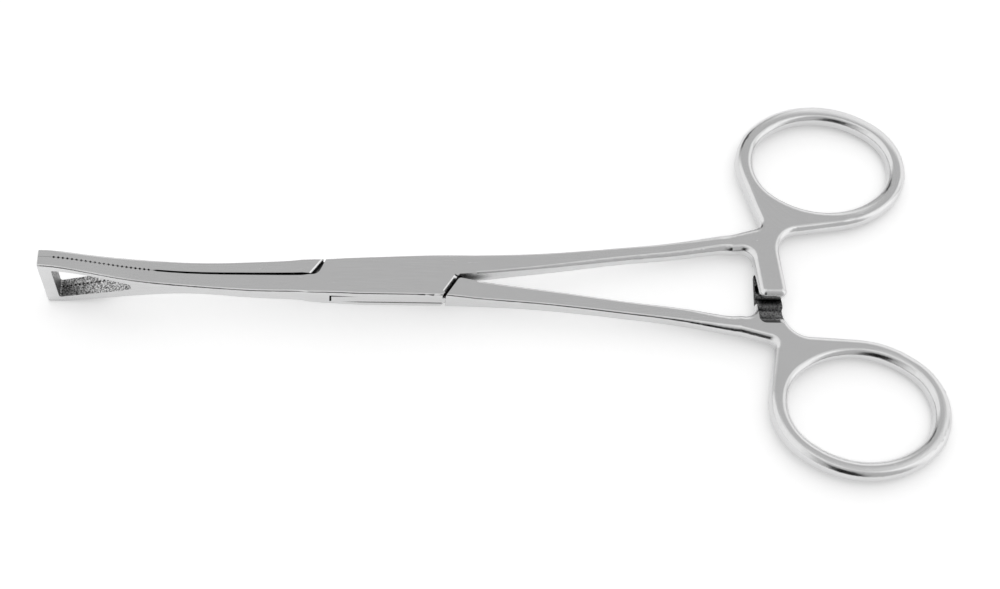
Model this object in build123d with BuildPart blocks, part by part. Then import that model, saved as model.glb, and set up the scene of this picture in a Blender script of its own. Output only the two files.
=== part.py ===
from build123d import *
import math
import os

os.makedirs("parts", exist_ok=True)

# Piercing forceps with open triangular jaws, a box lock, a ratchet and two finger rings.
# X runs along the tool with the jaw tips at -X and the finger rings at +X, Z is the pivot axis,
# and the origin is on that axis, on the flat underside of the box lock. Millimetres.

# Box lock
lock_thick = 4.8
lock_flat = 5.0
lock_end = 14.0
lock_end_half = 2.0
box_front = 4.1
box_back = 3.58
box_back_left = 2.95
box_back_right = 4.48
jaw_root = 14.2
jaw_root_width = 3.76
handle_root = 16.0
shoulder_left = 12.33
shoulder_left_slant = 65.0
shoulder_right = 12.47
shoulder_right_slant = 56.4
shoulder_fillet = 1.6
shoulder_chamfer = 0.55
shoulder_gap = 0.6
back_shoulder = 13.78
back_shoulder_slant = 52.1
back_shoulder_chamfer = 0.28
cheek_top = 0.38
crotch_gap = 0.35
crotch_round = 0.7
edge_round = 0.35
slot_height = 2.2
slot_end = 10.2
slot_mouth = 13.4
tongue_clear = 0.05
tongue_top_clear = 0.2
tongue_side_gap = 0.22
tongue_recess = 0.1
pin_radius = 1.6
pin_clear = 0.04

# Jaws
jaw_reach = 60.35
jaw_gap = 0.04
tip_half = 6.8
tip_break = 0.12
back_jaw_root = 15.5
back_jaw_root_width = 2.95
window_bar = 2.2
window_length = 13.05
window_top_strut = 1.65
window_bottom_strut = 1.85
window_rise = 0.45
window_blunt = 0.85
window_bow = 0.75
window_round = 0.35
serration_pitch = 0.745
serration_half_width = 0.25
serration_depth = 0.22
serration_bar = 2.0
serration_length = 16.75
relief_lead = 0.3
relief_run = 0.7
relief_depth = 0.17
relief_end = 15.2
relief_end_depth = 0.27
relief_nose = 0.15

# Handles and rings
handle_inner = 0.78
handle_outer = 4.48
neck_x = 64.0
neck_inner = 6.5
neck_outer = 10.2
neck_half = 1.6
neck_round = 1.25
ring_long = 30.1
ring_short = 23.7
ring_end_radius = 10.05
ring_bar = 3.36
crotch_run = 6.2
crotch_y = 11.9
crotch_fillet = 1.3
flank_y = 10.3
flank_fillet = 4.5
upper_ring = (neck_x + 19.48, 25.62)
upper_ring_tilt = 2.8
lower_ring = (neck_x + 20.4, 24.52)
lower_ring_tilt = 1.7

# Ratchet
upper_arm_x = neck_x + 6.8
lower_arm_x = neck_x + 6.17
arm_width = 5.4
arm_reach = 2.65
arm_lean = 0.07
arm_top = 6.85
arm_corner = 1.3
arm_fillet = 2.0
tooth_pitch = 2.35
tooth_depth = 0.62
tooth_flank = 0.5
tooth_clear = 0.08
tooth_land = 0.12
tooth_count = 4
last_ridge = 4.3
scoop_reach = 8.3
scoop_bow = 0.5
scoop_margin = 0.45
scoop_round = 1.3
pocket_margin = 0.3
pocket_round = 0.85

# Jaw sections from the tip towards the lock: share of the jaw's reach, share of the tip's
# half height, front jaw width, back jaw width
jaw_sections = [
    (1.0, 1.0, 1.86, 1.34),
    (0.954, 0.971, 1.97, 1.38),
    (0.829, 0.669, 2.35, 1.52),
    (0.729, 0.419, 2.56, 1.84),
    (0.63, 0.265, 2.66, 2.02),
    (0.464, 0.209, 3.15, 2.24),
    (0.331, 0.238, 3.48, 2.6),
]

# Handle sections from the lock towards the neck: share of the way, inner Y, outer Y,
# half height, rounding of the outer edges, rounding of the upper handle's inner edges
handle_sections = [
    (0.083, 1.2, 4.72, 1.64, 0.36, 0.36),
    (0.25, 2.16, 5.24, 1.48, 0.38, 0.5),
    (0.396, 3.05, 5.93, 1.4, 0.4, 0.7),
    (0.552, 4.08, 6.78, 1.34, 0.42, 0.8),
    (0.708, 4.92, 7.7, 1.34, 0.5, 0.85),
    (0.854, 5.86, 8.9, 1.44, 0.8, 1.0),
]

lock_half = lock_thick / 2
mid = lock_half
wide = 4 * tip_half
crown_run = lock_end - lock_flat
crown_drop = lock_half - lock_end_half
crown_radius = (crown_run ** 2 + crown_drop ** 2) / (2 * crown_drop)
seat = 0.01
window_base = jaw_reach - window_bar
window_apex = window_base - window_length
serration_start = jaw_reach - serration_bar
serration_end = serration_start - serration_length
relief_start = serration_end - relief_lead


def lock_height_at(x):
    """Half height of the lock's faces, flat at the pivot and falling gently towards both ends."""
    run = max(abs(x) - lock_flat, 0)
    return lock_half - crown_radius + math.sqrt(crown_radius ** 2 - run ** 2)


def lock_envelope():
    """Side outline of the lock, extruded right across it."""
    reach = handle_root + 2
    end_half = lock_height_at(reach)
    with BuildPart() as envelope:
        with BuildSketch(Plane.XZ.offset(-wide / 2)):
            with BuildLine():
                flat = Line((-lock_flat, lock_thick), (lock_flat, lock_thick))
                right = RadiusArc(flat @ 1, (reach, mid + end_half), crown_radius)
                left = RadiusArc((-reach, mid + end_half), flat @ 0, crown_radius)
                Polyline(right @ 1, (reach, mid), (-reach, mid), left @ 0)
            make_face()
            mirror(about=Plane.XZ.offset(-mid))
        extrude(amount=wide)
    return envelope.part


def lock_block(outline, fillet_points, bevels, rounded):
    """A full height piece of the lock: its outline raised, trimmed to the lock's side outline,
    rounded along the edges whose middles lie on the named sides, and bevelled."""
    with BuildPart() as block:
        with BuildSketch():
            with BuildLine():
                outline()
            make_face()
            for point, radius in fillet_points:
                fillet(vertices().sort_by_distance(Vector(*point))[0], radius)
        extrude(amount=lock_thick)
        add(envelope, mode=Mode.INTERSECT)
        rims = [edge for edge in edges() if is_rim(edge) and rounded(edge.center())]
        fillet(rims, edge_round)
        for bevel in bevels:
            add(bevel, mode=Mode.SUBTRACT)
        split(bisect_by=Plane.XY.offset(mid), keep=Keep.BOTTOM)
        mirror(about=Plane.XY.offset(mid))
    return block.part


def is_rim(edge):
    """True for an edge that runs along the outline on the top or bottom face of the lock."""
    box = edge.bounding_box()
    near_face = abs(edge.center().Z - mid) > lock_end_half - 0.4
    return near_face and box.size.Z < 1 and box.size.X > 0.5


def jaw_bar(side, width_index, root_x, root_width):
    """Shank and loop blank of one jaw, flat on its meeting face and rounded outside."""
    stations = [(-jaw_reach * s[0], tip_half * s[1], s[width_index]) for s in jaw_sections]
    stations.append((-root_x, lock_height_at(root_x) - seat, root_width - seat))
    with BuildPart() as bar:
        for x, half, width in stations:
            with BuildSketch(Plane.YZ.offset(x)):
                with Locations((side * (jaw_gap + width) / 2, mid)):
                    Rectangle(width, 2 * half)
                corners = vertices().sort_by(Axis.X)
                fillet(corners[:2] if side < 0 else corners[-2:], edge_round)
        loft()
        chamfer(faces().sort_by(Axis.X)[0].edges(), tip_break)
    return bar.part


def window_cutter():
    """Triangular window through both jaws, its apex above the middle and its top edge bowed."""
    apex = mid + window_rise
    upper_end = (-window_apex, apex + window_blunt)
    lower_end = (-window_apex, apex - window_blunt)
    base_top = (-window_base, mid + tip_half - window_top_strut)
    base_bottom = (-window_base, mid - tip_half + window_bottom_strut)
    middle = ((base_top[0] + upper_end[0]) / 2, (base_top[1] + upper_end[1]) / 2 + window_bow)
    with BuildPart() as cutter:
        with BuildSketch(Plane.XZ.offset(-wide / 2)):
            with BuildLine():
                Line(base_bottom, base_top)
                ThreePointArc(base_top, middle, upper_end)
                Polyline(upper_end, lower_end, base_bottom)
            make_face()
            fillet(vertices(), window_round)
        extrude(amount=wide)
    return cutter.part


def serration_cutter(side):
    """Rows of V grooves across one jaw's meeting face."""
    face_y = side * jaw_gap / 2
    count = int(serration_length / serration_pitch)
    with BuildPart() as cutter:
        with BuildSketch(Plane.XY.offset(mid - wide / 2)):
            for number in range(count):
                x = -serration_end - (number + 0.5) * serration_pitch
                with BuildLine():
                    Polyline(
                        (x - serration_half_width, face_y - side * serration_depth),
                        (x - serration_half_width, face_y),
                        (x, face_y + side * serration_depth),
                        (x + serration_half_width, face_y),
                        (x + serration_half_width, face_y - side * serration_depth),
                        close=True,
                    )
                make_face()
        extrude(amount=wide)
    return cutter.part


def ring_arcs(centre, tilt, grow):
    """Centre, radius, start angle and sweep of the four arcs of a ring's outline that stands
    outside the ring's centre line by grow."""
    half_long = ring_long / 2
    half_short = ring_short / 2
    end_run = half_long - ring_end_radius
    side_radius = (half_short ** 2 + end_run ** 2 - ring_end_radius ** 2) / (
        2 * (half_short - ring_end_radius)
    )
    side_run = side_radius - half_short
    joint = math.degrees(math.atan2(side_run, end_run))
    arcs = []
    for turn, run, radius, half_sweep in (
        (0, end_run, ring_end_radius, joint),
        (90, -side_run, side_radius, 90 - joint),
        (180, end_run, ring_end_radius, joint),
        (270, -side_run, side_radius, 90 - joint),
    ):
        angle = math.radians(turn + tilt)
        middle = (centre[0] + run * math.cos(angle), centre[1] + run * math.sin(angle))
        arcs.append((middle, radius + grow, turn + tilt - half_sweep, 2 * half_sweep))
    return arcs


def ring_outline(centre, tilt, grow):
    """Closed outline of a ring, outside its centre line by grow."""
    for middle, radius, start, sweep in ring_arcs(centre, tilt, grow):
        CenterArc(middle, radius, start, sweep)


def ring_touch(corner, centre, tilt, side):
    """Where the line from a corner touches the outside of a ring."""
    for middle, radius, start, sweep in ring_arcs(centre, tilt, ring_bar / 2):
        dx = corner[0] - middle[0]
        dy = corner[1] - middle[1]
        share = min(radius / math.hypot(dx, dy), 1)
        turn = math.atan2(dy, dx) + side * math.acos(share)
        if share < 1 and (math.degrees(turn) - start) % 360 <= sweep:
            return (middle[0] + radius * math.cos(turn), middle[1] + radius * math.sin(turn))


def ratchet_cutter(arm_x):
    """Clears the lower half of a ratchet arm, cuts saw teeth into the face that it bares as
    pockets with rounded left ends, and scoops the arm's root."""
    plane_z = mid + tooth_clear
    valley_z = plane_z + tooth_depth
    floor_z = mid - neck_half - 1
    left = arm_x - arm_width / 2 - arm_lean * arm_top
    right = arm_x + arm_width / 2 + 1
    end_y = -arm_reach - 3
    scoop_left = left + scoop_margin
    scoop_low = last_ridge - scoop_round
    scoop_end = (scoop_reach, mid - neck_half)
    scoop_start = (last_ridge + tooth_flank, valley_z)
    run = scoop_end[0] - scoop_start[0]
    drop = scoop_start[1] - scoop_end[1]
    span = math.hypot(run, drop)
    scoop_middle = (
        (scoop_start[0] + scoop_end[0]) / 2 + scoop_bow * drop / span,
        (scoop_start[1] + scoop_end[1]) / 2 + scoop_bow * run / span,
    )
    with BuildPart() as scoop:
        with BuildSketch(Plane.YZ.offset(left)):
            with BuildLine():
                Polyline((last_ridge, floor_z), (last_ridge, plane_z), scoop_start)
                ThreePointArc(scoop_start, scoop_middle, scoop_end)
                Polyline(scoop_end, (scoop_end[0], floor_z), (last_ridge, floor_z))
            make_face()
        extrude(amount=right - left)
        with BuildSketch(Plane.XY.offset(floor_z)):
            with Locations(((scoop_left + right) / 2, (scoop_low + scoop_reach) / 2)):
                Rectangle(right - scoop_left, scoop_reach - scoop_low)
            fillet(vertices().group_by(Axis.X)[0], scoop_round)
        extrude(amount=neck_half * 4, mode=Mode.INTERSECT)
    with BuildPart() as pockets:
        with BuildSketch(Plane.YZ.offset(left)):
            for number in range(1, tooth_count):
                ridge_y = last_ridge - number * tooth_pitch
                with BuildLine():
                    Polyline(
                        (ridge_y, floor_z),
                        (ridge_y, plane_z),
                        (ridge_y + tooth_flank, valley_z),
                        (ridge_y + tooth_pitch, plane_z),
                        (ridge_y + tooth_pitch, floor_z),
                        close=True,
                    )
                make_face()
        extrude(amount=right - left)
        with BuildSketch(Plane.XY.offset(floor_z)):
            for number in range(1, tooth_count):
                middle_y = last_ridge - (number - 0.5) * tooth_pitch
                pocket_left = arm_x - arm_width / 2 - arm_lean * middle_y + pocket_margin
                with Locations(((pocket_left + right) / 2, middle_y)):
                    Rectangle(right - pocket_left, tooth_pitch - tooth_land)
            fillet(vertices().filter_by(lambda corner: corner.X < arm_x), pocket_round)
        extrude(amount=neck_half * 4, mode=Mode.INTERSECT)
    with BuildPart() as cutter:
        with BuildSketch(Plane.XY.offset(floor_z)):
            with Locations(((left + right) / 2, (end_y + last_ridge) / 2)):
                Rectangle(right - left + 2, last_ridge - end_y)
        extrude(amount=plane_z - floor_z)
        add(pockets.part)
        add(scoop.part)
    return cutter.part


def handle(ring_centre, tilt, arm_x, inner_index):
    """Shank, finger ring and ratchet arm of the handle on the +Y side."""
    root_half = lock_height_at(handle_root)
    stations = [(handle_root, handle_inner, handle_outer, root_half, edge_round, edge_round)]
    for section in handle_sections:
        x = handle_root + section[0] * (neck_x - handle_root)
        stations.append((x, *section[1:5], section[inner_index]))
    stations.append((neck_x, neck_inner, neck_outer, neck_half, neck_round, neck_round))
    with BuildPart() as shank:
        for x, inner, outer, half, outer_round, inner_round in stations:
            with BuildSketch(Plane.YZ.offset(x)):
                with Locations(((inner + outer) / 2, mid)):
                    Rectangle(outer - inner - 2 * seat, 2 * (half - seat))
                corners = vertices().sort_by(Axis.X)
                fillet(corners[:2], inner_round)
                fillet(vertices().sort_by(Axis.X)[-2:], outer_round)
        loft()

    arm_left_top = (arm_x - arm_lean * arm_top - arm_width / 2, arm_top)
    arm_left_end = (arm_x + arm_lean * arm_reach - arm_width / 2, -arm_reach)
    arm_right_end = (arm_x + arm_lean * arm_reach + arm_width / 2, -arm_reach)
    arm_right_top = (arm_x - arm_lean * flank_y + arm_width / 2, flank_y)
    crotch = (neck_x + crotch_run, crotch_y)
    flank_touch = ring_touch(arm_right_top, ring_centre, tilt, 1)
    crotch_touch = ring_touch(crotch, ring_centre, tilt, -1)
    with BuildPart() as grip:
        with BuildSketch(Plane.XY.offset(mid - neck_half)):
            with BuildLine():
                Polyline(
                    (neck_x, neck_inner),
                    arm_left_top,
                    arm_left_end,
                    arm_right_end,
                    arm_right_top,
                    flank_touch,
                    ring_centre,
                    crotch_touch,
                    crotch,
                    (neck_x, neck_outer),
                    close=True,
                )
            make_face()
            with BuildLine():
                ring_outline(ring_centre, tilt, ring_bar / 2)
            make_face()
            corner_fillets = [
                (arm_left_top, arm_fillet),
                (arm_left_end, arm_corner),
                (arm_right_end, arm_corner),
                (arm_right_top, flank_fillet),
                (crotch, crotch_fillet),
            ]
            for corner, radius in corner_fillets:
                fillet(vertices().sort_by_distance(Vector(*corner))[0], radius)
            with BuildLine():
                ring_outline(ring_centre, tilt, -ring_bar / 2)
            make_face(mode=Mode.SUBTRACT)
        extrude(amount=2 * neck_half)
        rims = [
            edge
            for edge in edges().filter_by(Plane.XY)
            if edge.center().X > neck_x + 0.01
        ]
        fillet(rims, neck_round)
        add(ratchet_cutter(arm_x), mode=Mode.SUBTRACT)
        add(shank.part)
    return grip.part


def slant_point(foot_x, slant, y):
    """Point at height y on the slanted line that crosses Y = 0 at foot_x."""
    return (foot_x + y / math.tan(math.radians(slant)), y)


def slant_bevel(foot_x, slant, size, low_y, high_y):
    """Wedges that cut off the top and bottom edges of a slanted end face, the metal lying on
    the -X side of the face."""
    low = slant_point(foot_x, slant, low_y)
    high = slant_point(foot_x, slant, high_y)
    start = Vector(*low, mid + lock_height_at(low[0]))
    end = Vector(*high, mid + lock_height_at(high[0]))
    outward = (math.sin(math.radians(slant)), -math.cos(math.radians(slant)), 0)
    with BuildPart() as wedge:
        with BuildSketch(Plane(origin=start, x_dir=outward, z_dir=end - start)):
            with BuildLine():
                Polyline((-size, 0), (0, size), (size, size), (size, -size), (0, -size), close=True)
            make_face()
        extrude(amount=(end - start).length)
        mirror(about=Plane.XY.offset(mid))
    return wedge.part


def relief_cutter(side):
    """Shallow hollow of one jaw's meeting face between the serrations and the lock."""
    with BuildPart() as cutter:
        with BuildSketch(Plane.XY.offset(mid - wide / 2)):
            with BuildLine():
                Polyline(
                    (-relief_start, side * jaw_gap / 2),
                    (-relief_start + relief_run, side * relief_depth),
                    (-relief_end, side * relief_end_depth),
                    (-jaw_root, side * relief_nose),
                    (-jaw_root, -side * relief_nose),
                    (-relief_start, -side * relief_nose),
                    close=True,
                )
            make_face()
        extrude(amount=wide)
    return cutter.part


def box_outline():
    """Plan of the box half's lock: jaw root, left shoulder, back edge, handle root, cheek end."""
    left_foot = slant_point(-shoulder_left, shoulder_left_slant, -relief_nose)
    left_top = slant_point(-shoulder_left, shoulder_left_slant, box_back_left)
    right_top = (handle_root, handle_outer)
    inner_corner = slant_point(shoulder_right, shoulder_right_slant, cheek_top)
    cheek_foot = slant_point(shoulder_right, shoulder_right_slant, -box_front)
    Polyline((-jaw_root, -relief_nose), left_foot, left_top)
    ThreePointArc(left_top, (0, box_back), right_top)
    Polyline(right_top, (handle_root, handle_inner), inner_corner, cheek_foot)
    Polyline(cheek_foot, (-lock_flat, -box_front))
    Polyline((-lock_flat, -box_front), (-jaw_root, -jaw_root_width), (-jaw_root, -relief_nose))


def tongue_jaw_outline():
    """Plan of the full height root of the back jaw, left of the box's shoulder."""
    lower = slant_point(-back_shoulder, back_shoulder_slant, relief_nose)
    upper = slant_point(-back_shoulder, back_shoulder_slant, box_back_left + 0.02)
    Polyline(
        (-back_jaw_root, relief_nose),
        lower,
        upper,
        (-back_jaw_root, back_jaw_root_width),
        close=True,
    )


def tongue_handle_outline():
    """Plan of the full height root of the lower handle, right of the box's cheek end."""
    foot = shoulder_right + shoulder_gap
    lower = slant_point(foot, shoulder_right_slant, -box_front)
    upper = slant_point(foot, shoulder_right_slant, -crotch_gap)
    Polyline(
        lower,
        (handle_root, -handle_outer),
        (handle_root, -handle_inner),
        upper,
        close=True,
    )


def tongue_outline():
    """Plan of the thin tongue that crosses the box between its two cheeks."""
    gap = tongue_side_gap
    inside = back_shoulder + 2 * gap
    Polyline(
        (-slot_end + gap, -box_front + tongue_recess),
        (-slot_mouth + gap, jaw_gap / 2 + gap),
        (-back_jaw_root + 0.5, 2 * relief_end_depth),
        slant_point(-inside, back_shoulder_slant, box_back_left - tongue_recess),
        (-lock_flat, box_back - 2 * tongue_recess),
        (slot_end - gap, box_back_right - tongue_recess),
        (slot_mouth - gap, cheek_top - gap),
        (handle_root - 0.5, -handle_inner - gap),
        (handle_root - 0.5, -box_front),
        (lock_end - 1.5, -box_front + tongue_recess),
        close=True,
    )


def slot_outline():
    """Plan of the slot through the box: open front and back, closed at the two roots."""
    beyond = 2 * box_front
    Polyline(
        (-slot_end, -beyond),
        (-slot_end, -box_front),
        (-slot_mouth, 0),
        (-slot_mouth, beyond),
        (slot_end, beyond),
        (slot_end, box_back_right),
        (slot_mouth, cheek_top),
        (slot_mouth, -beyond),
        close=True,
    )


envelope = lock_envelope()
window = window_cutter()

box_bevel = slant_bevel(
    shoulder_right,
    shoulder_right_slant,
    shoulder_chamfer,
    -box_front + 2 * edge_round,
    cheek_top - crotch_round / 2,
)
box_block = lock_block(
    box_outline,
    [
        (slant_point(-shoulder_left, shoulder_left_slant, -relief_nose), shoulder_fillet),
        (slant_point(shoulder_right, shoulder_right_slant, cheek_top), crotch_round),
    ],
    [box_bevel],
    lambda middle: middle.Y < -0.8 * box_front or middle.Y > 0.8 * box_back_left,
)

with BuildPart() as box_half:
    add(box_block)
    add(jaw_bar(-1, 2, jaw_root, jaw_root_width - jaw_gap / 2))
    add(handle(upper_ring, upper_ring_tilt, upper_arm_x, 5))
    with BuildSketch(Plane.XY.offset(mid - slot_height / 2)):
        with BuildLine():
            slot_outline()
        make_face()
    extrude(amount=slot_height, mode=Mode.SUBTRACT)
    with Locations((0, 0, mid)):
        Cylinder(pin_radius, 2 * lock_thick, mode=Mode.SUBTRACT)
    add(relief_cutter(-1), mode=Mode.SUBTRACT)
    add(window, mode=Mode.SUBTRACT)
    add(serration_cutter(-1), mode=Mode.SUBTRACT)
box_half.part.label = "box_half"
export_step(box_half.part, "parts/box_half.step")

tongue_bevel = slant_bevel(
    -back_shoulder,
    back_shoulder_slant,
    back_shoulder_chamfer,
    -1,
    box_back_left + 1,
)
tongue_jaw_block = lock_block(
    tongue_jaw_outline,
    [],
    [tongue_bevel],
    lambda middle: middle.Y > 0.8 * box_back_left,
)
tongue_handle_block = lock_block(
    tongue_handle_outline,
    [(slant_point(shoulder_right + shoulder_gap, shoulder_right_slant, -crotch_gap), crotch_round)],
    [],
    lambda middle: middle.Y < -0.8 * box_front,
)
half_turn = Axis((0, 0, mid), (1, 0, 0))

with BuildPart() as tongue_half:
    add(tongue_jaw_block)
    add(tongue_handle_block)
    add(jaw_bar(1, 3, back_jaw_root, back_jaw_root_width - jaw_gap / 2))
    add(handle(lower_ring, lower_ring_tilt, lower_arm_x, 4).rotate(half_turn, 180))
    with BuildSketch(Plane.XY.offset(mid - slot_height / 2 + tongue_clear)):
        with BuildLine():
            tongue_outline()
        make_face()
    extrude(amount=slot_height - tongue_clear - tongue_top_clear)
    with Locations((0, 0, mid)):
        Cylinder(pin_radius + pin_clear, 2 * lock_thick, mode=Mode.SUBTRACT)
    add(relief_cutter(1), mode=Mode.SUBTRACT)
    add(window, mode=Mode.SUBTRACT)
    add(serration_cutter(1), mode=Mode.SUBTRACT)
tongue_half.part.label = "tongue_half"
export_step(tongue_half.part, "parts/tongue_half.step")

with BuildPart() as pivot_pin:
    with Locations((0, 0, mid)):
        Cylinder(pin_radius, lock_thick)
pivot_pin.part.label = "pivot_pin"
export_step(pivot_pin.part, "parts/pivot_pin.step")
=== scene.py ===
"""Satin steel finish, pale studio stage and camera for a piercing forceps with triangular jaws."""

import math

import bpy
from bpy.props import (
    FloatProperty,
    FloatVectorProperty,
    PointerProperty,
)
from bpy.types import Operator, Panel, PropertyGroup
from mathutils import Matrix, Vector


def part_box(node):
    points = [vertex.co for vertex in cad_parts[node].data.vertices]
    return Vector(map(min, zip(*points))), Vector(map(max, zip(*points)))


bl_info = {
    "name": "Piercing Forceps Finish",
    "version": (1, 0, 0),
    "blender": (4, 5, 0),
    "location": "3D View > Sidebar > Forceps",
    "description": "Steel finishes and a pale studio stage for ring handled piercing forceps",
    "category": "Material",
}

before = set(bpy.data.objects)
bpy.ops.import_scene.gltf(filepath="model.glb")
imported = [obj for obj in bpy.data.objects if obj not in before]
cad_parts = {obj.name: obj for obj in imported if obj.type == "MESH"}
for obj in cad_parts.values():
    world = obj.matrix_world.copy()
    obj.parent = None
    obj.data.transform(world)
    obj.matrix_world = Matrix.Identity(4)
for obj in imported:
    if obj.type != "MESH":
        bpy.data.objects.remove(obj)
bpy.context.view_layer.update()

MM = 0.001
MIDDLE_Z = (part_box("pivot_pin")[0].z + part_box("pivot_pin")[1].z) / 2

# Stretch of X over which the grain turns from straight to round a finger ring, in metres
RING_START = (0.068, 0.074)

# Only a finger ring has points past this X, in metres
RING_ONLY = 0.076

# Cosines of the turn from a ring's web between which the ring's crown comes in
CROWN_START = (-0.95, -0.45)

# Noise values between which a polishing streak, a dull patch and a blasted pit come in
STREAK_RISE = (0.28, 0.72)
PATCH_RISE = (0.3, 0.7)
PIT_RISE = (0.38, 0.6)

# Hairline scratches: half width in noise values, direction, and stretch of the noise
HAIRLINE_WIDTH = 0.008
HAIRLINE_TURN = math.radians(24)
HAIRLINE_STRETCH = (0.25, 6.0, 3.0)

# Shares of open surroundings between which the painted shade of a crevice clears
CREVICE_SHADE_CLEARS = (0.3, 0.6)

# What the streaks, the dull patches and the hairlines add to the roughness
ROUGHENING = (0.06, 0.05, 0.06)

# What the streaks and the dull patches take from the tone
DARKENING = (0.04, 0.03)

# How far a wall of the jaw's gripping faces turns towards the middle, as a cosine
MEETING_TURN = -0.2
ROOF_TURN = -0.3
BAR_TURN = 0.6

# How far a face cut into a ratchet arm turns: up or down, along Y in a scoop, and at most along X
CUT_TURN = 0.2
SCOOP_TURN = 0.12
SCOOP_SIDE = 0.5

# The jaw's blasted walls: darkest tone, and the painted shade that darkens them towards the jaw's
# end
BLAST_TONE = 0.2
LOOP_SPAN = (-0.0575, -0.0495)
LOOP_PAINTED_SHADE = (0.5, 1.1)

# Cuts of the ratchet, dull and with painted shade: darkest tone, strength of the speckle on it, and
# roughness
RECESS_SHADE_TONE = 0.1
RECESS_SPECKLE = 0.2
RECESS_ROUGHNESS = 0.3


class SteelSettings(PropertyGroup):
    """Finish of the steel halves and the pin."""

    colour: FloatVectorProperty(
        name="Steel Colour",
        description="Colour of the clean steel",
        subtype="COLOR",
        size=3,
        min=0.0,
        max=1.0,
        default=(0.7, 0.7, 0.702),
    )
    roughness: FloatProperty(
        name="Satin Roughness",
        description="Roughness of the satin finish between its streaks",
        subtype="FACTOR",
        min=0.0,
        max=1.0,
        default=0.13,
    )
    grain_width: FloatProperty(
        name="Grain Width",
        description="Typical width of one polishing streak",
        subtype="DISTANCE",
        unit="LENGTH",
        min=0.00002,
        max=0.002,
        default=0.00022,
    )
    grain_length: FloatProperty(
        name="Grain Length",
        description="Typical length of one polishing streak",
        subtype="DISTANCE",
        unit="LENGTH",
        min=0.0005,
        max=0.05,
        default=0.006,
    )
    grain_depth: FloatProperty(
        name="Grain Depth",
        description="Height of the polishing streaks",
        subtype="DISTANCE",
        unit="LENGTH",
        min=0.0,
        max=0.0002,
        default=0.000003,
    )
    matt_roughness: FloatProperty(
        name="Gripping Face Roughness",
        description="Roughness inside the jaw windows and on the serrated faces",
        subtype="FACTOR",
        min=0.0,
        max=1.0,
        default=0.42,
    )
    blast_size: FloatProperty(
        name="Blasting Grain",
        description="Typical size of one pit of the blasted gripping faces",
        subtype="DISTANCE",
        unit="LENGTH",
        min=0.00005,
        max=0.002,
        default=0.0003,
    )
    blast_depth: FloatProperty(
        name="Blasting Depth",
        description="Depth of the pits of the blasted gripping faces",
        subtype="DISTANCE",
        unit="LENGTH",
        min=0.0,
        max=0.0005,
        default=0.00003,
    )
    # Reach of the painted shade that darkens the steel in gaps, grooves and tooth pockets
    crevice_shade_reach: FloatProperty(
        name="Crevice Shade Reach",
        description="How far apart two faces can be and still darken each other",
        subtype="DISTANCE",
        unit="LENGTH",
        min=0.0001,
        max=0.01,
        default=0.003,
    )
    ring_reach: FloatProperty(
        name="Ring Reach",
        description="Distance from a finger ring's centre to the far end of the ring",
        subtype="DISTANCE",
        unit="LENGTH",
        min=0.005,
        max=0.05,
        default=0.01673,
    )
    ring_crown: FloatProperty(
        name="Ring Crown",
        description="How much higher the middle of a finger ring's bar stands than its edges",
        subtype="DISTANCE",
        unit="LENGTH",
        min=0.0,
        max=0.001,
        default=0.00026,
    )


class StageSettings(PropertyGroup):
    """Floor, studio light and camera."""

    floor_colour: FloatVectorProperty(
        name="Floor Colour",
        description="Colour of the pale floor",
        subtype="COLOR",
        size=3,
        min=0.0,
        max=1.0,
        default=(0.8, 0.8, 0.8),
    )
    floor_glow: FloatProperty(
        name="Floor Glow",
        description="Share of white that the floor shows by itself to the camera and to the steel",
        subtype="FACTOR",
        min=0.0,
        max=1.0,
        default=0.43,
    )
    floor_size: FloatProperty(
        name="Floor Size",
        description="Side of the square floor",
        subtype="DISTANCE",
        unit="LENGTH",
        min=0.5,
        max=20.0,
        default=6.0,
    )
    camera_place: FloatVectorProperty(
        name="Camera Place",
        description="Where the camera stands",
        subtype="TRANSLATION",
        unit="LENGTH",
        size=3,
        default=(-0.01048, -0.12639, 0.25186),
    )
    camera_turn: FloatVectorProperty(
        name="Camera Turn",
        description="How the camera is turned",
        subtype="EULER",
        size=3,
        default=(math.radians(26.446), math.radians(-6.033), math.radians(-2.033)),
    )
    camera_lens: FloatProperty(
        name="Camera Lens",
        description="Focal length of the camera in millimetres",
        min=10.0,
        max=300.0,
        default=55.81,
    )


def link(tree, pairs):
    """Joins each output socket to its input socket."""
    for output, target in pairs:
        tree.links.new(output, target)


def maths(tree, operation, first, second=None, third=None, clamp=False):
    """Adds a Math node and returns its result; sockets are linked and numbers are set."""
    node = tree.nodes.new("ShaderNodeMath")
    node.operation = operation
    node.use_clamp = clamp
    for index, value in enumerate((first, second, third)):
        if value is None:
            continue
        if isinstance(value, (int, float)):
            node.inputs[index].default_value = value
        else:
            tree.links.new(value, node.inputs[index])
    return node.outputs[0]


def length_of(tree, first, second):
    """Length of a flat vector from its two parts."""
    squares = maths(tree, "MULTIPLY", first, first), maths(tree, "MULTIPLY", second, second)
    return maths(tree, "SQRT", maths(tree, "ADD", *squares))


def spread(tree, value, low, high, to_low=0.0, to_high=1.0, smooth=True):
    """Maps a value from one range to another, held at both ends."""
    node = tree.nodes.new("ShaderNodeMapRange")
    node.interpolation_type = "SMOOTHSTEP" if smooth else "LINEAR"
    tree.links.new(value, node.inputs["Value"])
    node.inputs["From Min"].default_value = low
    node.inputs["From Max"].default_value = high
    node.inputs["To Min"].default_value = to_low
    node.inputs["To Max"].default_value = to_high
    return node.outputs["Result"]


def blend_values(tree, share, first, second):
    """Goes from the first value to the second as share goes from 0 to 1."""
    node = tree.nodes.new("ShaderNodeMix")
    node.data_type = "FLOAT"
    for index, value in ((0, share), (2, first), (3, second)):
        if isinstance(value, (int, float)):
            node.inputs[index].default_value = value
        else:
            tree.links.new(value, node.inputs[index])
    return node.outputs[0]


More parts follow.
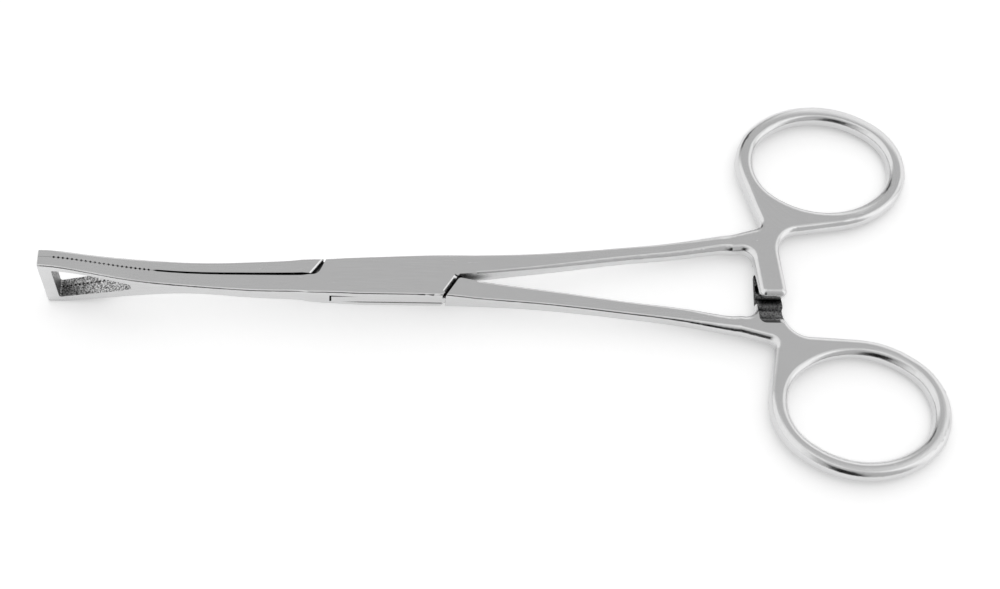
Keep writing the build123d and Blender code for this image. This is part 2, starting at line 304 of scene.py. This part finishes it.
def new_group(name, inputs, outputs):
    """Starts a shader node group with named sockets, each given as (name, type, default)."""
    group = bpy.data.node_groups.new(name, "ShaderNodeTree")
    for socket_name, kind, default in inputs:
        socket = group.interface.new_socket(socket_name, in_out="INPUT", socket_type=kind)
        if default is not None:
            socket.default_value = default
    for socket_name, kind in outputs:
        group.interface.new_socket(socket_name, in_out="OUTPUT", socket_type=kind)
    entry = group.nodes.new("NodeGroupInput")
    leave = group.nodes.new("NodeGroupOutput")
    return group, entry, leave


def add_group(tree, name, sources, values):
    """Adds a shader node group, its inputs linked from sources and set to values by name."""
    node = tree.nodes.new("ShaderNodeGroup")
    node.node_tree = bpy.data.node_groups[name]
    for socket_name, source in sources.items():
        tree.links.new(source, node.inputs[socket_name])
    for socket_name, value in values.items():
        node.inputs[socket_name].default_value = value
    return node


def split(tree, vector):
    """The three parts of a vector."""
    node = tree.nodes.new("ShaderNodeSeparateXYZ")
    tree.links.new(vector, node.inputs["Vector"])
    return node.outputs


def both(tree, *masks):
    """Mask of the places where all the masks hold."""
    whole = masks[0]
    for mask in masks[1:]:
        whole = maths(tree, "MULTIPLY", whole, mask)
    return whole


def below(tree, value, limit):
    """Mask of the places where a value is under a limit."""
    return maths(tree, "LESS_THAN", value, limit)


def above(tree, value, limit):
    """Mask of the places where a value is over a limit."""
    return maths(tree, "GREATER_THAN", value, limit)


def streak_noise(group):
    """Noise of the polishing streaks, for a place that is already stretched along them."""
    noise = group.nodes.new("ShaderNodeTexNoise")
    noise.inputs["Scale"].default_value = 1.0
    noise.inputs["Detail"].default_value = 3.0
    noise.inputs["Roughness"].default_value = 0.65
    return noise


def offset_from(group, vector, centre):
    """Place as seen from a centre, in its three parts."""
    offset = group.nodes.new("ShaderNodeVectorMath")
    offset.operation = "SUBTRACT"
    link(group, [(vector, offset.inputs[0]), (centre, offset.inputs[1])])
    return split(group, offset.outputs["Vector"])


def straight_grain_group():
    """Polishing streaks along the instrument, and finer ones between them."""
    group, entry, leave = new_group(
        "Straight Grain",
        [
            ("Vector", "NodeSocketVector", None),
            ("Length", "NodeSocketFloat", 0.006),
            ("Width", "NodeSocketFloat", 0.00022),
        ],
        [("Grain", "NodeSocketFloat")],
    )
    along = maths(group, "DIVIDE", 1.0, entry.outputs["Length"])
    across = maths(group, "DIVIDE", 1.0, entry.outputs["Width"])
    scale = group.nodes.new("ShaderNodeCombineXYZ")
    stretch = group.nodes.new("ShaderNodeVectorMath")
    stretch.operation = "MULTIPLY"
    noise = streak_noise(group)
    link(
        group,
        [
            (along, scale.inputs["X"]),
            (across, scale.inputs["Y"]),
            (across, scale.inputs["Z"]),
            (entry.outputs["Vector"], stretch.inputs[0]),
            (scale.outputs["Vector"], stretch.inputs[1]),
            (stretch.outputs["Vector"], noise.inputs["Vector"]),
        ],
    )
    group.links.new(spread(group, noise.outputs["Fac"], *STREAK_RISE), leave.inputs["Grain"])
    return group


def ring_grain_group():
    """Polishing streaks that run round a finger ring about its centre."""
    group, entry, leave = new_group(
        "Ring Grain",
        [
            ("Vector", "NodeSocketVector", None),
            ("Centre", "NodeSocketVector", (0.084, 0.025, 0.0)),
            ("Radius", "NodeSocketFloat", 0.0135),
            ("Length", "NodeSocketFloat", 0.006),
            ("Width", "NodeSocketFloat", 0.00022),
        ],
        [("Grain", "NodeSocketFloat")],
    )
    x, y, z = offset_from(group, entry.outputs["Vector"], entry.outputs["Centre"])
    turn = maths(group, "ARCTAN2", y, x)
    half_turn = maths(group, "ABSOLUTE", turn)
    round_run = maths(group, "MULTIPLY", half_turn, entry.outputs["Radius"])
    distance = length_of(group, x, y)
    run = maths(group, "DIVIDE", round_run, entry.outputs["Length"])
    out = maths(group, "DIVIDE", distance, entry.outputs["Width"])
    rise = maths(group, "DIVIDE", z, entry.outputs["Width"])
    place = group.nodes.new("ShaderNodeCombineXYZ")
    noise = streak_noise(group)
    link(
        group,
        [
            (run, place.inputs["X"]),
            (out, place.inputs["Y"]),
            (rise, place.inputs["Z"]),
            (place.outputs["Vector"], noise.inputs["Vector"]),
        ],
    )
    group.links.new(spread(group, noise.outputs["Fac"], *STREAK_RISE), leave.inputs["Grain"])
    return group


def ring_crown_group():
    """Rise of a finger ring's bar towards its middle line, an ellipse; flat where the web joins."""
    group, entry, leave = new_group(
        "Ring Crown",
        [
            ("Vector", "NodeSocketVector", None),
            ("Centre", "NodeSocketVector", (0.084, 0.025, 0.0)),
            ("Half Long", "NodeSocketFloat", 0.01505),
            ("Half Short", "NodeSocketFloat", 0.01185),
            ("Reach", "NodeSocketFloat", 0.0022),
            ("Web Lean Long", "NodeSocketFloat", 0.5),
            ("Web Lean Short", "NodeSocketFloat", 0.85),
        ],
        [("Rise", "NodeSocketFloat")],
    )
    x, y, z = offset_from(group, entry.outputs["Vector"], entry.outputs["Centre"])
    distance = length_of(group, x, y)
    along = maths(group, "DIVIDE", x, entry.outputs["Half Long"])
    across = maths(group, "DIVIDE", y, entry.outputs["Half Short"])
    share = length_of(group, along, across)
    line = maths(group, "DIVIDE", distance, share)
    off_line = maths(group, "SUBTRACT", distance, line)
    off_line = maths(group, "DIVIDE", off_line, entry.outputs["Reach"])
    fall = maths(group, "SUBTRACT", 1.0, maths(group, "MULTIPLY", off_line, off_line), clamp=True)
    outer_side = maths(group, "SIGN", split(group, entry.outputs["Centre"])["Y"])
    outward = maths(group, "MULTIPLY", y, outer_side)
    from_web = maths(
        group,
        "ADD",
        maths(group, "MULTIPLY", x, entry.outputs["Web Lean Long"]),
        maths(group, "MULTIPLY", outward, entry.outputs["Web Lean Short"]),
    )
    free = spread(group, maths(group, "DIVIDE", from_web, distance), *CROWN_START)
    rise = maths(group, "MULTIPLY", maths(group, "MULTIPLY", fall, fall), free)
    group.links.new(rise, leave.inputs["Rise"])
    return group


def handling_marks_group():
    """Soft cloudy patches where the satin is duller, and hairline scratches across them."""
    group, entry, leave = new_group(
        "Handling Marks",
        [("Vector", "NodeSocketVector", None), ("Patch Size", "NodeSocketFloat", 0.006)],
        [("Patches", "NodeSocketFloat"), ("Hairlines", "NodeSocketFloat")],
    )
    patch_scale = maths(group, "DIVIDE", 1.0, entry.outputs["Patch Size"])
    clouds = group.nodes.new("ShaderNodeTexNoise")
    clouds.inputs["Detail"].default_value = 4.0
    clouds.inputs["Roughness"].default_value = 0.55
    hair = group.nodes.new("ShaderNodeTexNoise")
    hair.inputs["Detail"].default_value = 1.5
    hair.inputs["Distortion"].default_value = 0.4
    lines = group.nodes.new("ShaderNodeMapping")
    lines.inputs["Rotation"].default_value = (0.0, 0.0, HAIRLINE_TURN)
    lines.inputs["Scale"].default_value = HAIRLINE_STRETCH
    link(
        group,
        [
            (entry.outputs["Vector"], clouds.inputs["Vector"]),
            (patch_scale, clouds.inputs["Scale"]),
            (entry.outputs["Vector"], lines.inputs["Vector"]),
            (lines.outputs["Vector"], hair.inputs["Vector"]),
            (patch_scale, hair.inputs["Scale"]),
        ],
    )
    group.links.new(spread(group, clouds.outputs["Fac"], *PATCH_RISE), leave.inputs["Patches"])
    crest = maths(group, "ABSOLUTE", maths(group, "SUBTRACT", hair.outputs["Fac"], 0.5))
    hairlines = spread(group, crest, 0.0, HAIRLINE_WIDTH, 1.0, 0.0)
    group.links.new(hairlines, leave.inputs["Hairlines"])
    return group


def grip_face_group():
    """Mask of the blasted faces: the inner walls of the jaw window and the meeting faces."""
    group, entry, leave = new_group(
        "Gripping Faces",
        [
            ("Vector", "NodeSocketVector", None),
            ("Normal", "NodeSocketVector", None),
            ("Rear End", "NodeSocketFloat", -0.0415),
            ("Loop Rear", "NodeSocketFloat", -0.0445),
            ("Bar Rear", "NodeSocketFloat", -0.0575),
            ("Meeting Reach", "NodeSocketFloat", 0.0004),
            ("Middle Z", "NodeSocketFloat", 0.0024),
        ],
        [("Mask", "NodeSocketFloat")],
    )
    x, y, z = split(group, entry.outputs["Vector"])
    facing = split(group, entry.outputs["Normal"])
    toward = maths(group, "MULTIPLY", facing["Y"], maths(group, "SIGN", y))
    meeting = both(
        group,
        below(group, maths(group, "ABSOLUTE", y), entry.outputs["Meeting Reach"]),
        below(group, x, entry.outputs["Rear End"]),
        below(group, toward, MEETING_TURN),
    )
    height = maths(group, "SUBTRACT", z, entry.outputs["Middle Z"])
    inward = maths(group, "MULTIPLY", facing["Z"], maths(group, "SIGN", height))
    roof = both(
        group,
        below(group, inward, ROOF_TURN),
        below(group, x, entry.outputs["Loop Rear"]),
    )
    bar = both(
        group,
        above(group, facing["X"], BAR_TURN),
        below(group, x, entry.outputs["Bar Rear"]),
    )
    either = maths(group, "MAXIMUM", maths(group, "MAXIMUM", meeting, roof), bar)
    group.links.new(either, leave.inputs["Mask"])
    return group


def crevice_shade_group():
    """How open a point is, which sets the painted shade: 1 on free faces, 0 deep in a gap, a groove
    or a tooth pocket.
    """
    group, entry, leave = new_group(
        "Crevice Shade",
        [("Reach", "NodeSocketFloat", 0.0014)],
        [("Openness", "NodeSocketFloat")],
    )
    occlusion = group.nodes.new("ShaderNodeAmbientOcclusion")
    occlusion.samples = 12
    group.links.new(entry.outputs["Reach"], occlusion.inputs["Distance"])
    openness = spread(group, occlusion.outputs["AO"], *CREVICE_SHADE_CLEARS)
    group.links.new(openness, leave.inputs["Openness"])
    return group


def tooth_recess_group():
    """Mask of the faces cut into the ratchet arms, which get painted shade: the tooth pockets and
    the scooped roots.
    """
    group, entry, leave = new_group(
        "Ratchet Recess",
        [
            ("Vector", "NodeSocketVector", None),
            ("Normal", "NodeSocketVector", None),
            ("Left End", "NodeSocketFloat", 0.0664),
            ("Right End", "NodeSocketFloat", 0.0756),
            ("Last Ridge", "NodeSocketFloat", 0.0043),
            ("Scoop Reach", "NodeSocketFloat", 0.0084),
            ("Pocket Depth", "NodeSocketFloat", 0.85 * MM),
            ("Middle Z", "NodeSocketFloat", 0.0024),
        ],
        [("Mask", "NodeSocketFloat")],
    )
    x, y, z = split(group, entry.outputs["Vector"])
    facing = split(group, entry.outputs["Normal"])
    reach = maths(group, "ABSOLUTE", y)
    height = maths(group, "SUBTRACT", z, entry.outputs["Middle Z"])
    in_arm = both(
        group,
        above(group, x, entry.outputs["Left End"]),
        below(group, x, entry.outputs["Right End"]),
        below(group, reach, entry.outputs["Scoop Reach"]),
        above(group, maths(group, "ABSOLUTE", facing["Z"]), CUT_TURN),
        below(group, maths(group, "MULTIPLY", height, facing["Z"]), 0.0),
    )
    pocket = below(group, maths(group, "ABSOLUTE", height), entry.outputs["Pocket Depth"])
    scoop = both(
        group,
        above(group, reach, entry.outputs["Last Ridge"]),
        above(group, maths(group, "ABSOLUTE", facing["Y"]), SCOOP_TURN),
        below(group, maths(group, "ABSOLUTE", facing["X"]), SCOOP_SIDE),
    )
    cut = maths(group, "MULTIPLY", in_arm, maths(group, "MAXIMUM", pocket, scoop))
    group.links.new(cut, leave.inputs["Mask"])
    return group


def blasting_group():
    """Pits of a blasted face."""
    group, entry, leave = new_group(
        "Blasting",
        [("Vector", "NodeSocketVector", None), ("Pit Size", "NodeSocketFloat", 0.0003)],
        [("Pits", "NodeSocketFloat")],
    )
    noise = group.nodes.new("ShaderNodeTexNoise")
    noise.inputs["Detail"].default_value = 2.0
    noise.inputs["Roughness"].default_value = 0.6
    link(
        group,
        [
            (entry.outputs["Vector"], noise.inputs["Vector"]),
            (maths(group, "DIVIDE", 1.0, entry.outputs["Pit Size"]), noise.inputs["Scale"]),
        ],
    )
    group.links.new(spread(group, noise.outputs["Fac"], *PIT_RISE), leave.inputs["Pits"])
    return group


def ring_centre_of(node_name, ring_reach):
    """Centre of a half's finger ring, from the points of its widest stretch."""
    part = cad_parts[node_name]
    ring = [v.co for v in part.data.vertices if v.co.x > RING_ONLY]
    far_end = max(point.x for point in ring)
    sides = [point.y for point in ring]
    return Vector((far_end - ring_reach, (min(sides) + max(sides)) / 2, 0))


def steel_material(name, steel, ring_centre=None, with_grips=False):
    """Satin steel: streaks, duller patches, hairlines, painted shade in crevices and, on a jaw,
    blasted gripping faces with painted shade towards the jaw's end and painted shade in the ratchet
    cuts.
    """
    material = bpy.data.materials.new(name)
    material.use_nodes = True
    tree = material.node_tree
    tree.nodes.clear()
    output = tree.nodes.new("ShaderNodeOutputMaterial")
    shader = tree.nodes.new("ShaderNodeBsdfPrincipled")
    shader.inputs["Metallic"].default_value = 1.0
    coordinates = tree.nodes.new("ShaderNodeTexCoord")
    position = coordinates.outputs["Object"]
    facing = coordinates.outputs["Normal"]
    tree.links.new(shader.outputs["BSDF"], output.inputs["Surface"])

    streaks = {"Length": steel.grain_length, "Width": steel.grain_width}
    marks = add_group(tree, "Handling Marks", {"Vector": position}, {}).outputs
    grain = add_group(tree, "Straight Grain", {"Vector": position}, streaks).outputs["Grain"]
    if ring_centre is not None:
        around = {"Centre": ring_centre, **streaks}
        ring_grain = add_group(tree, "Ring Grain", {"Vector": position}, around).outputs["Grain"]
        along = split(tree, position)["X"]
        grain = blend_values(tree, spread(tree, along, *RING_START), grain, ring_grain)

    height = maths(tree, "MULTIPLY", grain, steel.grain_depth)
    if ring_centre is not None:
        crown = add_group(tree, "Ring Crown", {"Vector": position}, {"Centre": ring_centre})
        rise = maths(tree, "MULTIPLY", crown.outputs["Rise"], steel.ring_crown)
        height = maths(tree, "ADD", height, rise)
    roughness = steel.roughness
    effects = grain, marks["Patches"], marks["Hairlines"]
    for effect, amount in zip(effects, ROUGHENING):
        roughness = maths(tree, "ADD", roughness, maths(tree, "MULTIPLY", effect, amount))
    tone = 1.0
    for effect, amount in zip(effects, DARKENING):
        tone = maths(tree, "SUBTRACT", tone, maths(tree, "MULTIPLY", effect, amount))
    # Painted shade: the steel's tone darkens where gaps, grooves and tooth pockets close it in
    crevice_shade = add_group(tree, "Crevice Shade", {}, {"Reach": steel.crevice_shade_reach})
    openness = crevice_shade.outputs["Openness"]

    if with_grips:
        ways = {"Vector": position, "Normal": facing}
        middle = {"Middle Z": MIDDLE_Z}
        pit_size = {"Pit Size": steel.blast_size}
        gripped = add_group(tree, "Gripping Faces", ways, middle).outputs["Mask"]
        pits = add_group(tree, "Blasting", {"Vector": position}, pit_size).outputs["Pits"]
        blasted_tone_and_shade = maths(tree, "ADD", BLAST_TONE, pits)
        # Painted shade: the blasted walls darken towards the jaw's end
        blasted_tone_and_shade = maths(tree, "MULTIPLY", blasted_tone_and_shade, spread(tree, along, *LOOP_SPAN, *LOOP_PAINTED_SHADE))
        # The gripping faces take no painted crevice shade
        openness = maths(tree, "MAXIMUM", openness, gripped)
        roughness = blend_values(tree, gripped, roughness, steel.matt_roughness)
        tone = blend_values(tree, gripped, tone, blasted_tone_and_shade)
        pitted = maths(tree, "MULTIPLY", pits, steel.blast_depth)
        height = blend_values(tree, gripped, height, pitted)
        cut = add_group(tree, "Ratchet Recess", ways, middle).outputs["Mask"]
        # Painted shade: the ratchet's cuts take a dark speckled tone and a duller roughness
        recess_shade = maths(tree, "ADD", RECESS_SHADE_TONE, maths(tree, "MULTIPLY", pits, RECESS_SPECKLE))
        roughness = blend_values(tree, cut, roughness, RECESS_ROUGHNESS)
        tone = blend_values(tree, cut, tone, recess_shade)

    # The painted crevice shade darkens the tone
    tone = maths(tree, "MULTIPLY", tone, openness)
    colour = tree.nodes.new("ShaderNodeVectorMath")
    colour.operation = "SCALE"
    colour.inputs[0].default_value = steel.colour
    bump = tree.nodes.new("ShaderNodeBump")
    bump.inputs["Strength"].default_value = 1.0
    bump.inputs["Distance"].default_value = 1.0
    link(
        tree,
        [
            (tone, colour.inputs["Scale"]),
            (colour.outputs["Vector"], shader.inputs["Base Color"]),
            (roughness, shader.inputs["Roughness"]),
            (height, bump.inputs["Height"]),
            (bump.outputs["Normal"], shader.inputs["Normal"]),
        ],
    )
    return material


def give_material(node_name, material):
    """Puts one material on a part."""
    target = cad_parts[node_name]
    target.data.materials.clear()
    target.data.materials.append(material)


def resting_line():
    """Slope and height at X = 0 of the line under the part that it lies on."""
    low = {}
    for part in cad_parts.values():
        for vertex in part.data.vertices:
            step = round(vertex.co.x / MM)
            low[step] = min(low.get(step, (vertex.co.z, vertex.co.x)), (vertex.co.z, vertex.co.x))
    left = [(x, z) for z, x in low.values() if x < 0]
    right = [(x, z) for z, x in low.values() if x > 0]
    best = max(
        ((zr - zl) / (xr - xl), zl, xl)
        for xl, zl in left
        for xr, zr in right
        if all(z >= zl + (x - xl) * (zr - zl) / (xr - xl) - 1e-6 for z, x in low.values())
    )
    slope, z, x = best
    return slope, z - slope * x


def floor_material(stage):
    """Pale floor that keeps the part's shadow and shows white elsewhere."""
    material = bpy.data.materials.new("pale_floor")
    material.use_nodes = True
    tree = material.node_tree
    tree.nodes.clear()
    output = tree.nodes.new("ShaderNodeOutputMaterial")
    diffuse = tree.nodes.new("ShaderNodeBsdfDiffuse")
    diffuse.inputs["Color"].default_value = (*stage.floor_colour, 1.0)
    glow = tree.nodes.new("ShaderNodeEmission")
    path = tree.nodes.new("ShaderNodeLightPath")
    seen = maths(tree, "MAXIMUM", path.outputs["Is Camera Ray"], path.outputs["Is Glossy Ray"])
    together = tree.nodes.new("ShaderNodeAddShader")
    link(
        tree,
        [
            (maths(tree, "MULTIPLY", seen, stage.floor_glow), glow.inputs["Strength"]),
            (diffuse.outputs["BSDF"], together.inputs[0]),
            (glow.outputs["Emission"], together.inputs[1]),
            (together.outputs["Shader"], output.inputs["Surface"]),
        ],
    )
    return material


# What the steel sees, as panels over an even sky, each with the sides it reaches between in
# degrees from the far side, its heights in degrees, its softness and its brightness
SKY = 0.76
PANELS = (
    ((-150, -50), (0, 78), 8, 1.4),
    ((8, 78), (-30, 40), 5, 1.4),
    ((84, 126), (-20, 68), 8, 1.6),
    ((-34, -12), (6, 26), 4, 0.05),
    ((54, 86), (36, 66), 6, 1.35),
    ((-190, 190), (74, 100), 5, 1.3),
)

# Dark panel on the near side, its sides counted either way round from the far side
NEAR_DARK = ((166, 200), (-8, 50), 2, 0.01)

# Strength of the light that falls on the floor, from the near side and from the far side
NEAR_LIGHT = 0.45
FAR_LIGHT = 1.55

# Lean towards the far side, or the near side, at which that light has its full strength
LIGHT_SPAN = 0.9

# Gap between the floor and the line that the part lies on, in metres
FLOOR_GAP = 0.02 * MM


def panel(tree, side, height, sides, heights, soft):
    """Soft edged rectangle of the sky."""
    masks = []
    for value, (low, high) in ((side, sides), (height, heights)):
        rise = spread(tree, value, math.radians(low - soft), math.radians(low + soft))
        fall = spread(tree, value, math.radians(high - soft), math.radians(high + soft), 1.0, 0.0)
        masks += [rise, fall]
    return both(tree, *masks)


def studio_world():
    """White light, stronger from the far side, which the steel sees as bright and dark panels."""
    world = bpy.data.worlds.new("studio")
    world.use_nodes = True
    tree = world.node_tree
    tree.nodes.clear()
    output = tree.nodes.new("ShaderNodeOutputWorld")
    background = tree.nodes.new("ShaderNodeBackground")
    coordinates = tree.nodes.new("ShaderNodeTexCoord")
    parts = tree.nodes.new("ShaderNodeSeparateXYZ")
    tree.links.new(coordinates.outputs["Generated"], parts.inputs["Vector"])
    side = maths(tree, "ARCTAN2", parts.outputs["X"], parts.outputs["Y"])
    height = maths(tree, "ARCSINE", parts.outputs["Z"])
    seen_by_steel = SKY
    for sides, heights, soft, level in PANELS:
        mask = panel(tree, side, height, sides, heights, soft)
        seen_by_steel = blend_values(tree, mask, seen_by_steel, level)
    sides, heights, soft, level = NEAR_DARK
    mask = panel(tree, maths(tree, "ABSOLUTE", side), height, sides, heights, soft)
    seen_by_steel = blend_values(tree, mask, seen_by_steel, level)
    path = tree.nodes.new("ShaderNodeLightPath")
    from_behind = spread(
        tree, parts.outputs["Y"], -LIGHT_SPAN, LIGHT_SPAN, NEAR_LIGHT, FAR_LIGHT, smooth=False
    )
    strength = blend_values(tree, path.outputs["Is Glossy Ray"], from_behind, seen_by_steel)
    link(
        tree,
        [
            (strength, background.inputs["Strength"]),
            (background.outputs["Background"], output.inputs["Surface"]),
        ],
    )
    return world


class FORCEPS_OT_effects(Operator):
    """Build the shared grain, crown, marks, gripping face, painted crevice shade, ratchet cut and
    blasting effects
    """

    bl_idname = "forceps.effects"
    bl_label = "Build Steel Effects"

    def execute(self, context):
        straight_grain_group()
        ring_grain_group()
        ring_crown_group()
        handling_marks_group()
        grip_face_group()
        crevice_shade_group()
        tooth_recess_group()
        blasting_group()
        return {"FINISHED"}


class FORCEPS_OT_box_half(Operator):
    """Finish the half that holds the box of the lock"""

    bl_idname = "forceps.box_half"
    bl_label = "Finish Box Half"

    def execute(self, context):
        steel = context.scene.forceps_steel
        centre = ring_centre_of("box_half", steel.ring_reach)
        material = steel_material("box_half_steel", steel, centre, True)
        give_material("box_half", material)
        return {"FINISHED"}


class FORCEPS_OT_tongue_half(Operator):
    """Finish the half that carries the tongue of the lock"""

    bl_idname = "forceps.tongue_half"
    bl_label = "Finish Tongue Half"

    def execute(self, context):
        steel = context.scene.forceps_steel
        centre = ring_centre_of("tongue_half", steel.ring_reach)
        material = steel_material("tongue_half_steel", steel, centre, True)
        give_material("tongue_half", material)
        return {"FINISHED"}


class FORCEPS_OT_pivot_pin(Operator):
    """Finish the pin, ground with the faces of the lock"""

    bl_idname = "forceps.pivot_pin"
    bl_label = "Finish Pivot Pin"

    def execute(self, context):
        give_material("pivot_pin", steel_material("pin_steel", context.scene.forceps_steel))
        return {"FINISHED"}


class FORCEPS_OT_stage(Operator):
    """Set the floor, the studio light and the camera"""

    bl_idname = "forceps.stage"
    bl_label = "Set Stage"

    def execute(self, context):
        scene = context.scene
        stage = scene.forceps_stage
        slope, height = resting_line()
        bpy.ops.object.select_all(action="DESELECT")
        bpy.ops.mesh.primitive_plane_add(
            size=stage.floor_size,
            location=(0, 0, height - FLOOR_GAP),
            rotation=(0, -math.atan(slope), 0),
        )
        floor = context.object
        floor.name = "floor"
        floor.data.materials.append(floor_material(stage))
        scene.world = studio_world()
        scene.view_settings.view_transform = "Standard"
        bpy.ops.object.camera_add(location=stage.camera_place, rotation=stage.camera_turn)
        camera = context.object
        camera.data.lens = stage.camera_lens
        camera.data.sensor_width = 36.0
        camera.data.clip_start = 0.01
        camera.data.clip_end = 20.0
        scene.camera = camera
        return {"FINISHED"}


class FORCEPS_PT_panel(Panel):
    """Lists the finishes and the stage in the sidebar"""

    bl_idname = "FORCEPS_PT_panel"
    bl_label = "Piercing Forceps"
    bl_space_type = "VIEW_3D"
    bl_region_type = "UI"
    bl_category = "Forceps"

    def draw(self, context):
        layout = self.layout
        for settings in (context.scene.forceps_steel, context.scene.forceps_stage):
            box = layout.box()
            for name in settings.__annotations__:
                box.prop(settings, name)
        for operator in OPERATORS:
            layout.operator(operator.bl_idname)


OPERATORS = (
    FORCEPS_OT_effects,
    FORCEPS_OT_box_half,
    FORCEPS_OT_tongue_half,
    FORCEPS_OT_pivot_pin,
    FORCEPS_OT_stage,
)
CLASSES = (SteelSettings, StageSettings, *OPERATORS, FORCEPS_PT_panel)


def register():
    for item in CLASSES:
        bpy.utils.register_class(item)
    bpy.types.Scene.forceps_steel = PointerProperty(type=SteelSettings)
    bpy.types.Scene.forceps_stage = PointerProperty(type=StageSettings)


def unregister():
    del bpy.types.Scene.forceps_stage
    del bpy.types.Scene.forceps_steel
    for item in reversed(CLASSES):
        bpy.utils.unregister_class(item)


def main():
    """Registers the classes, finishes every piece and sets the stage."""
    register()
    bpy.ops.forceps.effects()
    bpy.ops.forceps.box_half()
    bpy.ops.forceps.tongue_half()
    bpy.ops.forceps.pivot_pin()
    bpy.ops.forceps.stage()


if __name__ == "__main__":
    main()
